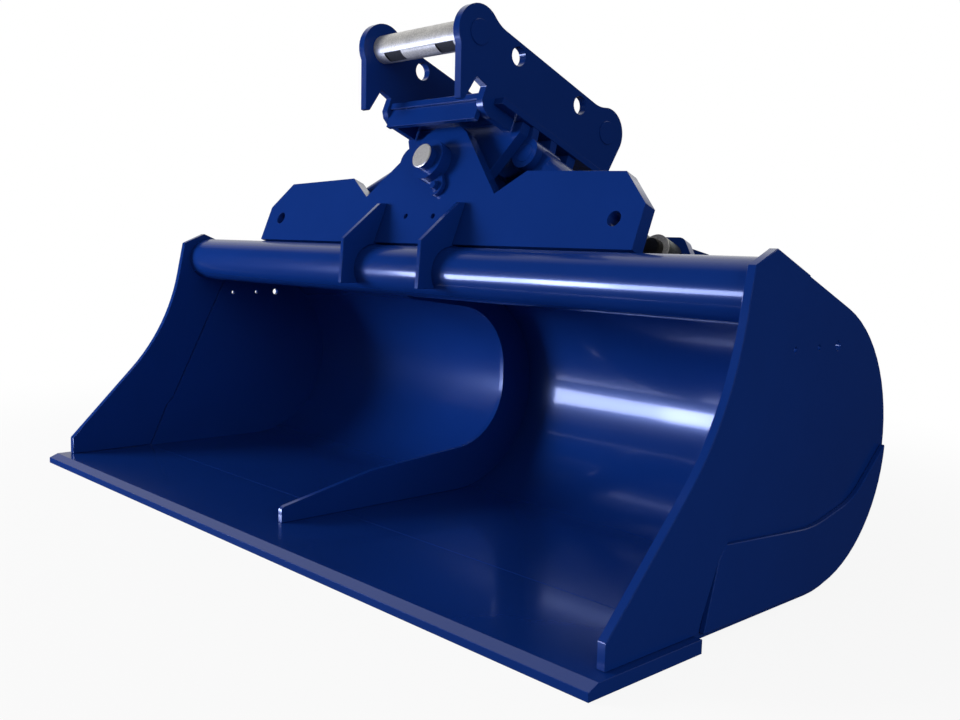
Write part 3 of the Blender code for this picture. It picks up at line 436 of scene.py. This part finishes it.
# Paint on the pin's nose and on the boss's bore: its thickness, how deep it starts, how far it
# reaches past the boss's face, and the hair's breadth by which the pin's step clears that face
COAT = 0.0004
COAT_ROOT = 0.001
COAT_PAST = 0.0003
BORE_COAT = 0.0006
STEP_CLEAR = 0.0001
# Caps over the hitch pins' ends
CAP_RADIUS = 0.026
CAP_THICK = 0.0026
CAP_BREAK = 0.001
# Milled flats of the hitch pins: half their length, and the radius below which a face is on one
FLAT_END = 0.113
FLAT_REACH = 0.0288
# Rod pins and the washers in front of the eyes
ROD_PIN_RADIUS = 0.020
ROD_PIN_NOSE = 0.018
WASHER_GAP = 0.0004
WASHER_THICK = 0.003
WASHER_RADIUS = 0.031
# Keeper's bolt: its place round the pivot, then (height, radius) of its washer and head
KEEPER_ANGLE = math.radians(-58.0)
KEEPER_BOLT_REACH = 0.066
BOLT_WASHER = [(0, 0), (0, 0.0125), (0.002, 0.0125), (0.002, 0)]
BOLT_HEAD = [(0.002, 0), (0.002, 0.0100), (0.0085, 0.0100), (0.0098, 0.0085), (0.0098, 0)]


def pivot_pin():
    """Pivot pin with a broken edge at its nose, proud of the front boss."""
    low, high = span("pivot_pin")
    body, place = BODY_OF["pivot_pin"], facing(0, low.y, 0, "X", -90)
    boss = span("front_pivot_boss")[0].y - low.y - STEP_CLEAR
    tail = high.y - low.y
    profile = [(-PIN_NOSE, 0), (-PIN_NOSE, PIN_NOSE_RADIUS - PIN_NOSE_BREAK),
               (PIN_NOSE_BREAK - PIN_NOSE, PIN_NOSE_RADIUS), (boss, PIN_NOSE_RADIUS),
               (boss, PIN_RADIUS), (tail - PIN_BREAK, PIN_RADIUS),
               (tail, PIN_RADIUS - PIN_BREAK), (tail, 0)]
    made = turned("pivot_pin_dressed", place, profile, body, "machined_steel", PIN_STEPS)
    made.data.materials[0] = PIN_FACE
    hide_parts("pivot_pin")
    ring("pivot_pin_coat", place, PIN_BREAK - PIN_NOSE, boss + COAT_PAST,
         PIN_NOSE_RADIUS + COAT, PIN_NOSE_RADIUS - COAT_ROOT, body, "blue_paint")
    ring("pivot_bore_coat", place, boss - COAT, boss + COAT, PIN_RADIUS + BORE_COAT,
         PIN_NOSE_RADIUS, body, "blue_paint")


def round_tube():
    """Torque tube with a truly round wall in place of the faceted one."""
    points = [vert.co for vert in NODES["torque_tube"].data.vertices]
    low, high = ([pick(point[axis] for point in points) for axis in range(3)]
                 for pick in (min, max))
    y, z = (low[1] + high[1]) / 2, (low[2] + high[2]) / 2
    radii = [math.hypot(point.y - y, point.z - z) for point in points]
    place = Matrix.Translation((0, y, z)) @ Matrix.Rotation(math.pi / 2, 4, "Y")
    made = ring("torque_tube_round", place, low[0], high[0], max(radii), min(radii),
                BODY_OF["torque_tube"], "blue_paint", TUBE_STEPS)
    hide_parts("torque_tube")


def hitch_pins():
    """Hitch pins with broken edges; their milled flats face down into shade, and that shade is
    painted on them with the dark steel.
    """
    for name in ("front_hitch_pin", "rear_hitch_pin"):
        low, high = span(name)
        s, v = (low.y + high.y) / 2, (low.z + high.z) / 2
        made = edged(name, FINE_CHAMFER, PIN_SHARP_FROM)
        # Painted shade: the milled flats get the dark steel, which stands for the shade they lie
        # in
        made.data.materials.append(LOOKS["dark_steel"])
        for face in made.data.polygons:
            point = UNTILT @ face.center
            depth = math.hypot(point.y - s, point.z - v)
            if abs(point.x) < FLAT_END and depth < FLAT_REACH:
                face.material_index = 1


def rod_pins():
    """Rod pins with a broken edge at their free end, and a washer in front of each eye."""
    for side in ("left", "right"):
        low, high = span("rod_eye_bush_" + side)
        x, v = (low.x + high.x) / 2, (low.z + high.z) / 2
        name, tail = "rod_pin_" + side, span("rod_pin_" + side)[1].y - low.y
        radius = ROD_PIN_RADIUS
        profile = [(-ROD_PIN_NOSE, 0), (-ROD_PIN_NOSE, radius - PIN_BREAK),
                   (PIN_BREAK - ROD_PIN_NOSE, radius), (tail - PIN_BREAK, radius),
                   (tail, radius - PIN_BREAK), (tail, 0)]
        made = turned(name + "_dressed", facing(x, low.y, v, "X", -90), profile, BODY_OF[name],
                      "dark_steel", ROD_PIN_STEPS)
        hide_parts(name)
        ring("rod_washer_" + side, facing(x, low.y, v, "X", 90), WASHER_GAP, WASHER_THICK,
             WASHER_RADIUS, radius, BODY_OF[name], "machined_steel")


def end_caps():
    """Painted caps over the hitch pins' ends, on the ears' outer faces."""
    face = span("ear_right")[1].x
    profile = [(0, 0), (0, CAP_RADIUS), (CAP_THICK - CAP_BREAK, CAP_RADIUS),
               (CAP_THICK, CAP_RADIUS - CAP_BREAK), (CAP_THICK, 0)]
    for pin in ("front_hitch_pin", "rear_hitch_pin"):
        low, high = span(pin)
        s, v = (low.y + high.y) / 2, (low.z + high.z) / 2
        for side, sign in (("left", -1), ("right", 1)):
            turned(pin + "_cap_" + side, facing(sign * face, s, v, "Y", sign * 90), profile,
                   BODY_OF[pin], "blue_paint", PIN_STEPS)


def keeper_bolt():
    """Painted hexagon bolt and washer that hold the pivot pin's keeper."""
    x = KEEPER_BOLT_REACH * math.cos(KEEPER_ANGLE)
    v = KEEPER_BOLT_REACH * math.sin(KEEPER_ANGLE)
    place = facing(x, span("pivot_pin_keeper")[0].y, v, "X", 90)
    body = BODY_OF["pivot_pin_keeper"]
    turned("keeper_washer", place, BOLT_WASHER, body, "blue_paint", WASHER_STEPS)
    turned("keeper_bolt", place, BOLT_HEAD, body, "blue_paint", BOLT_SIDES)


round_tube()
hitch_pins()
pivot_pin()
rod_pins()
end_caps()
keeper_bolt()


# Stage, lamps and camera

def white_paper():
    """Floor that shows white to the camera and keeps a soft shadow."""
    made = bpy.data.materials.new("white_paper")
    made.use_nodes = True
    tree = made.node_tree
    tree.nodes.clear()
    out = node(tree, "OutputMaterial")
    plain = node(tree, "BsdfDiffuse", Color=(0.82, 0.82, 0.82, 1))
    glow = node(tree, "Emission", Color=(1, 1, 1, 1))
    path = node(tree, "LightPath")
    place = node(tree, "TexCoord")
    far = tree.nodes.new("ShaderNodeVectorMath")
    far.operation = "LENGTH"
    fade = node(tree, "MapRange", interpolation_type="SMOOTHSTEP", From_Min=FADE_NEAR,
                From_Max=FADE_FAR, To_Min=NEAR_WHITE, To_Max=1.0)
    wire(tree, (place.outputs["Object"], far.inputs[0]),
         (far.outputs["Value"], fade.inputs["Value"]))
    shine = math_node(tree, "MAXIMUM", path.outputs["Is Glossy Ray"],
                      path.outputs["Is Transmission Ray"])
    seen = path.outputs["Is Camera Ray"]
    share = math_node(tree, "ADD", math_node(tree, "MULTIPLY", seen, fade.outputs["Result"]),
                      math_node(tree, "ADD", math_node(tree, "MULTIPLY", shine, SHINE_SHARE),
                                math_node(tree, "MULTIPLY", path.outputs["Is Diffuse Ray"],
                                          BOUNCE_LOST)))
    level = math_node(tree, "ADD", math_node(tree, "MULTIPLY", shine, SHINE_FLOOR), seen)
    wire(tree, (level, glow.inputs["Strength"]))
    mix = node(tree, "MixShader")
    wire(tree, (share, mix.inputs[0]), (plain.outputs[0], mix.inputs[1]),
         (glow.outputs[0], mix.inputs[2]), (mix.outputs[0], out.inputs[0]))
    return made


def floor():
    """Pale floor under the bucket."""
    form = bmesh.new()
    bmesh.ops.create_grid(form, x_segments=1, y_segments=1, size=FLOOR_HALF)
    mesh = bpy.data.meshes.new("studio_floor")
    form.to_mesh(mesh)
    form.free()
    mesh.materials.append(white_paper())
    made = bpy.data.objects.new("studio_floor", mesh)
    made.location = (0, 0, -FLOOR_DEPTH)
    bpy.context.scene.collection.objects.link(made)


def world(strength, dim):
    """White to the camera, even on the object; in gloss, the white lies behind and above."""
    made = bpy.data.worlds.new("studio")
    made.use_nodes = True
    bpy.context.scene.world = made
    tree = made.node_tree
    back = tree.nodes["Background"]
    path = node(tree, "LightPath")
    place = node(tree, "TexCoord")
    toward = tree.nodes.new("ShaderNodeVectorMath")
    toward.operation = "DOT_PRODUCT"
    toward.inputs[1].default_value = Vector(BACKDROP).normalized()
    wire(tree, (place.outputs["Generated"], toward.inputs[0]))
    spread = node(tree, "MapRange", From_Min=BACKDROP_FROM, From_Max=BACKDROP_FULL, To_Min=dim,
                  To_Max=1.0)
    wire(tree, (toward.outputs["Value"], spread.inputs["Value"]))
    glossy = math_node(tree, "MAXIMUM", path.outputs["Is Glossy Ray"],
                       path.outputs["Is Transmission Ray"])
    level = math_node(tree, "ADD", strength,
                      math_node(tree, "MULTIPLY", path.outputs["Is Camera Ray"], 1.0 - strength))
    shine = math_node(tree, "MULTIPLY", glossy,
                      math_node(tree, "SUBTRACT", spread.outputs["Result"], strength))
    wire(tree, (math_node(tree, "ADD", level, shine), back.inputs["Strength"]))
    back.inputs["Color"].default_value = (1, 1, 1, 1)


def lamp(name, place, target, width, height, power, gloss=True, fill=True, tint=(1, 1, 1)):
    """Soft rectangular lamp aimed at a point; it may leave out gloss or fill."""
    data = bpy.data.lights.new(name, "AREA")
    data.shape = "RECTANGLE"
    data.size, data.size_y, data.energy = width, height, power
    data.color = tint
    made = bpy.data.objects.new(name, data)
    made.location = place
    aim = Vector(target) - Vector(place)
    made.rotation_euler = aim.to_track_quat("-Z", "Y").to_euler()
    made.visible_glossy, made.visible_diffuse = gloss, fill
    bpy.context.scene.collection.objects.link(made)


def camera():
    """Camera where the photograph was taken."""
    data = bpy.data.cameras.new("photo_camera")
    data.lens, data.sensor_width = LENS, SENSOR
    level = LOOK.cross(Vector((0, 0, 1))).normalized()
    right = Matrix.Rotation(-ROLL, 3, LOOK) @ level
    up = right.cross(LOOK)
    turn = Matrix((right, up, -LOOK)).transposed().to_4x4()
    made = bpy.data.objects.new("photo_camera", data)
    made.matrix_world = Matrix.Translation(EYE) @ turn
    bpy.context.scene.collection.objects.link(made)
    bpy.context.scene.camera = made


COOL = (0.58, 0.66, 1.0)
MIDDLE = (0, 0.3, 0.4)
RIGHT_HALF = (0.5, 0.3, 0.35)

floor()
world(strength=0.27, dim=0.012)
lamp("key", (-3.35, -2.9, 0.95), MIDDLE, 2.0, 1.6, 258, gloss=False)
lamp("side_fill", (3.4, -0.9, 1.3), MIDDLE, 2.0, 2.0, 36, gloss=False)
lamp("low_softbox", (-0.48, -1.26, 0.26), RIGHT_HALF, 0.85, 0.46, 34, fill=False, tint=COOL)
lamp("floor_softbox", (-1.22, -1.26, 0.20), RIGHT_HALF, 0.85, 0.52, 45, fill=False, tint=COOL)
camera()
bpy.context.scene.view_settings.view_transform = "Standard"
